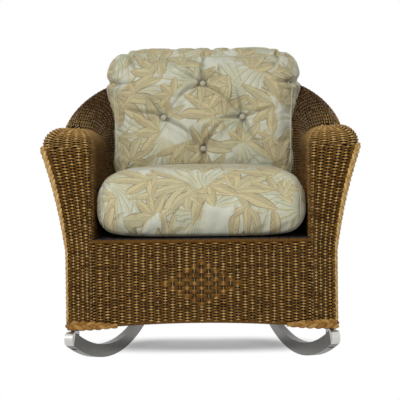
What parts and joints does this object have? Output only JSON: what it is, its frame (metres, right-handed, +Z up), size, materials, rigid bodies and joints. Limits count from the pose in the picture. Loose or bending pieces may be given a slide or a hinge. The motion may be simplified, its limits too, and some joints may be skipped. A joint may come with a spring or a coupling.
{
  "type": "rocking lounge chair",
  "caption": "Woven barrel lounge chair on curved metal rocker rails, with wide rolled arms, a loose seat cushion and a tufted back cushion.",
  "frame": {"origin": "on the floor under the middle of the overall box, midway between the front and the back and between the sides", "axes": "+Z up, -Y the way the sitter faces, +X to the right of someone who looks at the chair from its front"},
  "size_m": [0.914, 0.8738, 0.9843],
  "materials": {
    "rail_aluminium": "brushed",
    "post_chrome": "polished",
    "bolt_steel": "zinc plated",
    "frame_aluminium": "brown powder coat",
    "woven_panel": "woven round strand, mottled brown",
    "plaited_edge": "plaited round strand, tan",
    "deck_weave": "open woven strap, dark",
    "cushion_fabric": "woven cotton with a printed leaf design",
    "cushion_foam": "foam",
    "tuft_twine": "waxed twine"
  },
  "bodies": {
    "root": {"apron_foot_binding": "plaited_edge", "apron_skin": "woven_panel", "apron_top_binding": "plaited_edge", "arch_plait": "plaited_edge", "arm_plait_left": "plaited_edge", "arm_plait_right": "plaited_edge", "arm_skin_left": "woven_panel", "arm_skin_right": "woven_panel", "arm_tube_left": "frame_aluminium", "arm_tube_right": "frame_aluminium", "back_cushion": "cushion_fabric", "back_cushion_foam": "cushion_foam", "back_hoop": "frame_aluminium", "back_inner_skin": "woven_panel", "back_outer_skin": "woven_panel", "back_stile_left": "frame_aluminium", "back_stile_right": "frame_aluminium", "base_plait_back": "plaited_edge", "base_plait_left": "plaited_edge", "base_plait_right": "plaited_edge", "column_plait_left": "plaited_edge", "column_plait_right": "plaited_edge", "deck_bar_1": "frame_aluminium", "deck_bar_2": "frame_aluminium", "deck_bar_3": "frame_aluminium", "deck_bar_4": "frame_aluminium", "foot_plait_left": "plaited_edge", "foot_plait_right": "plaited_edge", "front_buttons": "cushion_fabric", "front_leg_left": "frame_aluminium", "front_leg_right": "frame_aluminium", "front_post_left": "post_chrome", "front_post_right": "post_chrome", "front_seat_rail": "frame_aluminium", "front_stretcher": "frame_aluminium", "rear_buttons": "cushion_fabric", "rear_leg_left": "frame_aluminium", "rear_leg_right": "frame_aluminium", "rear_post_left": "post_chrome", "rear_post_right": "post_chrome", "rear_seat_rail": "frame_aluminium", "rear_stretcher": "frame_aluminium", "runner_bolts": "bolt_steel", "runner_left": "rail_aluminium", "runner_nose_cap_left": "rail_aluminium", "runner_nose_cap_right": "rail_aluminium", "runner_right": "rail_aluminium", "runner_tail_cap_left": "rail_aluminium", "runner_tail_cap_right": "rail_aluminium", "seat_cushion": "cushion_fabric", "seat_cushion_foam": "cushion_foam", "seat_deck": "deck_weave", "side_seat_rail_left": "frame_aluminium", "side_seat_rail_right": "frame_aluminium", "side_skin_left": "woven_panel", "side_skin_right": "woven_panel", "side_stretcher_left": "frame_aluminium", "side_stretcher_right": "frame_aluminium", "tuft_twines": "tuft_twine"}
  },
  "joints": []
}
